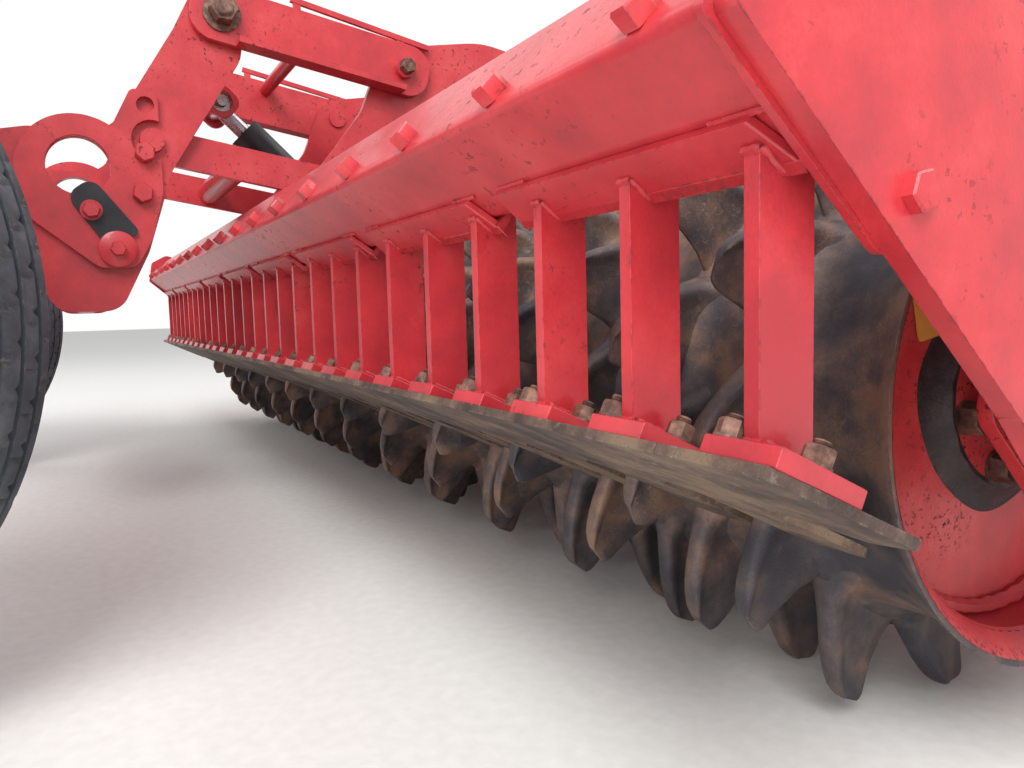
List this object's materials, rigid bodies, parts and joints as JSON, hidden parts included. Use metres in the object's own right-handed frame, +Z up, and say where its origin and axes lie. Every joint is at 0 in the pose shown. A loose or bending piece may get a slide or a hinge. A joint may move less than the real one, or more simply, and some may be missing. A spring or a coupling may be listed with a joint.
{
  "type": "power harrow",
  "caption": "Mounted power harrow with rotating tines, toothed packer roller with scrapers, and a rear parallel linkage carrying two caster wheels",
  "frame": {"origin": "middle of the machine's outline on the floor", "axes": "+X to the machine's right, +Y forward towards the tractor, +Z up"},
  "size_m": [3.014, 2.5661, 1.206],
  "materials": {
    "red_paint": "gloss red paint, chipped and dusty",
    "worn_steel": "bare steel, brown rust film, polished tips",
    "blade_steel": "tan scale with a bright worn edge",
    "dark_steel": "black paint",
    "bright_steel": "machined steel",
    "rim_paint": "light grey paint",
    "tyre_rubber": "dusty blue-grey black rubber"
  },
  "bodies": {
    "harrow": {"gear_trough": "red_paint", "trough_cover": "red_paint", "trough_ends": "red_paint", "headframe": "red_paint", "hitch_brackets": "red_paint", "gearbox": "red_paint", "rear_tower": "red_paint", "levelling_board": "red_paint"},
    "input_shaft": {"pto_shaft": "bright_steel"},
    "roller_frame": {"roller_arm_right": "red_paint", "roller_arm_left": "red_paint", "roller_bearings": "red_paint", "scraper_beam": "red_paint", "scraper_holder_1": "red_paint", "scraper_holder_2": "red_paint", "scraper_holder_3": "red_paint", "scraper_holder_4": "red_paint", "scraper_holder_5": "red_paint", "scraper_holder_6": "red_paint", "scraper_holder_7": "red_paint", "scraper_holder_8": "red_paint", "scraper_holder_9": "red_paint", "scraper_blades": "blade_steel"},
    "packer_roller": {"packer_drum": "worn_steel", "drum_ends": "red_paint"},
    "lower_link_pair": {"lower_links": "red_paint"},
    "upper_link_pair": {"upper_links": "red_paint"},
    "wheel_carrier": {"carrier_plates": "red_paint", "lever_plates": "red_paint", "carrier_tubes": "red_paint", "swan_necks": "red_paint"},
    "lift_barrel": {"cylinder_barrel": "dark_steel"},
    "lift_rod": {"cylinder_rod": "bright_steel"},
    "caster_right": {"caster_fork_right": "red_paint"},
    "wheel_right": {"wheel_rim_right": "rim_paint", "tyre_right": "tyre_rubber"},
    "deflector_right": {"side_deflector_right": "red_paint"},
    "caster_left": {"caster_fork_left": "red_paint"},
    "wheel_left": {"wheel_rim_left": "rim_paint", "tyre_left": "tyre_rubber"},
    "deflector_left": {"side_deflector_left": "red_paint"},
    "tine_rotor_1": {"rotor_1": "worn_steel"},
    "tine_rotor_2": {"rotor_2": "worn_steel"},
    "tine_rotor_3": {"rotor_3": "worn_steel"},
    "tine_rotor_4": {"rotor_4": "worn_steel"},
    "tine_rotor_5": {"rotor_5": "worn_steel"},
    "tine_rotor_6": {"rotor_6": "worn_steel"},
    "tine_rotor_7": {"rotor_7": "worn_steel"},
    "tine_rotor_8": {"rotor_8": "worn_steel"},
    "tine_rotor_9": {"rotor_9": "worn_steel"},
    "tine_rotor_10": {"rotor_10": "worn_steel"}
  },
  "joints": [
    {"name": "roller_arms_swing", "type": "hinge", "parent": "harrow", "child": "roller_frame", "pos_m": [0, 0.86315, 0.56], "axis": [1, 0, 0], "range_deg": [0, 6]},
    {"name": "packer_spin", "type": "hinge", "parent": "roller_frame", "child": "packer_roller", "pos_m": [0, 0.22315, 0.3], "axis": [1, 0, 0], "continuous": true},
    {"name": "rotor_1_spin", "type": "hinge", "parent": "harrow", "child": "tine_rotor_1", "pos_m": [-1.305, 0.80315, 0.34], "axis": [0, 0, 1], "continuous": true},
    {"name": "rotor_2_spin", "type": "hinge", "parent": "harrow", "child": "tine_rotor_2", "pos_m": [-1.015, 0.80315, 0.34], "axis": [0, 0, 1], "continuous": true},
    {"name": "rotor_3_spin", "type": "hinge", "parent": "harrow", "child": "tine_rotor_3", "pos_m": [-0.725, 0.80315, 0.34], "axis": [0, 0, 1], "continuous": true},
    {"name": "rotor_4_spin", "type": "hinge", "parent": "harrow", "child": "tine_rotor_4", "pos_m": [-0.435, 0.80315, 0.34], "axis": [0, 0, 1], "continuous": true},
    {"name": "rotor_5_spin", "type": "hinge", "parent": "harrow", "child": "tine_rotor_5", "pos_m": [-0.145, 0.80315, 0.34], "axis": [0, 0, 1], "continuous": true},
    {"name": "rotor_6_spin", "type": "hinge", "parent": "harrow", "child": "tine_rotor_6", "pos_m": [0.145, 0.80315, 0.34], "axis": [0, 0, 1], "continuous": true},
    {"name": "rotor_7_spin", "type": "hinge", "parent": "harrow", "child": "tine_rotor_7", "pos_m": [0.435, 0.80315, 0.34], "axis": [0, 0, 1], "continuous": true},
    {"name": "rotor_8_spin", "type": "hinge", "parent": "harrow", "child": "tine_rotor_8", "pos_m": [0.725, 0.80315, 0.34], "axis": [0, 0, 1], "continuous": true},
    {"name": "rotor_9_spin", "type": "hinge", "parent": "harrow", "child": "tine_rotor_9", "pos_m": [1.015, 0.80315, 0.34], "axis": [0, 0, 1], "continuous": true},
    {"name": "rotor_10_spin", "type": "hinge", "parent": "harrow", "child": "tine_rotor_10", "pos_m": [1.305, 0.80315, 0.34], "axis": [0, 0, 1], "continuous": true},
    {"name": "input_spin", "type": "hinge", "parent": "harrow", "child": "input_shaft", "pos_m": [0, 1.12315, 0.812], "axis": [0, 1, 0], "continuous": true},
    {"name": "link_lift", "type": "hinge", "parent": "harrow", "child": "lower_link_pair", "pos_m": [0, -0.01785, 0.631], "axis": [-1, 0, 0], "range_deg": [-12, 25]},
    {"name": "upper_link_swing", "type": "hinge", "parent": "harrow", "child": "upper_link_pair", "pos_m": [0, 0.10615, 0.854], "axis": [-1, 0, 0], "range_deg": [-12.5, 25.5]},
    {"name": "carrier_swing", "type": "hinge", "parent": "lower_link_pair", "child": "wheel_carrier", "pos_m": [0, -0.35185, 0.688], "axis": [-1, 0, 0], "range_deg": [-25.5, 12.5]},
    {"name": "barrel_swing", "type": "hinge", "parent": "harrow", "child": "lift_barrel", "pos_m": [0, -0.01785, 0.631], "axis": [-1, 0, 0], "range_deg": [-12.2, 25.3]},
    {"name": "rod_slide", "type": "slide", "parent": "lift_barrel", "child": "lift_rod", "axis": [0, -0.7227, 0.6912], "range_m": [-0.0396, 0.0822]},
    {"name": "caster_right_swivel", "type": "hinge", "parent": "wheel_carrier", "child": "caster_right", "pos_m": [0.8103, -0.84392, 0.94], "axis": [0, 0, 1], "range_deg": [-14, 66]},
    {"name": "wheel_right_spin", "type": "hinge", "parent": "caster_right", "child": "wheel_right", "pos_m": [0.784, -0.89785, 0.4], "axis": [0.8988, -0.4384, 0], "continuous": true},
    {"name": "deflector_right_swing", "type": "hinge", "parent": "harrow", "child": "deflector_right", "pos_m": [1.475, 0.80315, 0.388], "axis": [0, -1, 0], "range_deg": [0, 35]},
    {"name": "caster_left_swivel", "type": "hinge", "parent": "wheel_carrier", "child": "caster_left", "pos_m": [-0.8103, -0.84392, 0.94], "axis": [0, 0, 1], "range_deg": [-14, 66]},
    {"name": "wheel_left_spin", "type": "hinge", "parent": "caster_left", "child": "wheel_left", "pos_m": [-0.83661, -0.89785, 0.4], "axis": [0.8988, -0.4384, 0], "continuous": true},
    {"name": "deflector_left_swing", "type": "hinge", "parent": "harrow", "child": "deflector_left", "pos_m": [-1.475, 0.80315, 0.388], "axis": [0, 1, 0], "range_deg": [0, 35]}
  ],
  "couplings": [
    {"joint": "upper_link_swing", "follows": "link_lift", "ratio": 1},
    {"joint": "carrier_swing", "follows": "link_lift", "ratio": -1},
    {"joint": "barrel_swing", "follows": "link_lift", "ratio": 1.0075},
    {"joint": "rod_slide", "follows": "link_lift", "m_per_rad": 0.1875},
    {"joint": "rotor_2_spin", "follows": "rotor_1_spin", "ratio": -1},
    {"joint": "rotor_3_spin", "follows": "rotor_1_spin", "ratio": 1},
    {"joint": "rotor_4_spin", "follows": "rotor_1_spin", "ratio": -1},
    {"joint": "rotor_5_spin", "follows": "rotor_1_spin", "ratio": 1},
    {"joint": "rotor_6_spin", "follows": "rotor_1_spin", "ratio": -1},
    {"joint": "rotor_7_spin", "follows": "rotor_1_spin", "ratio": 1},
    {"joint": "rotor_8_spin", "follows": "rotor_1_spin", "ratio": -1},
    {"joint": "rotor_9_spin", "follows": "rotor_1_spin", "ratio": 1},
    {"joint": "rotor_10_spin", "follows": "rotor_1_spin", "ratio": -1},
    {"joint": "input_spin", "follows": "rotor_1_spin", "ratio": 2.5}
  ]
}
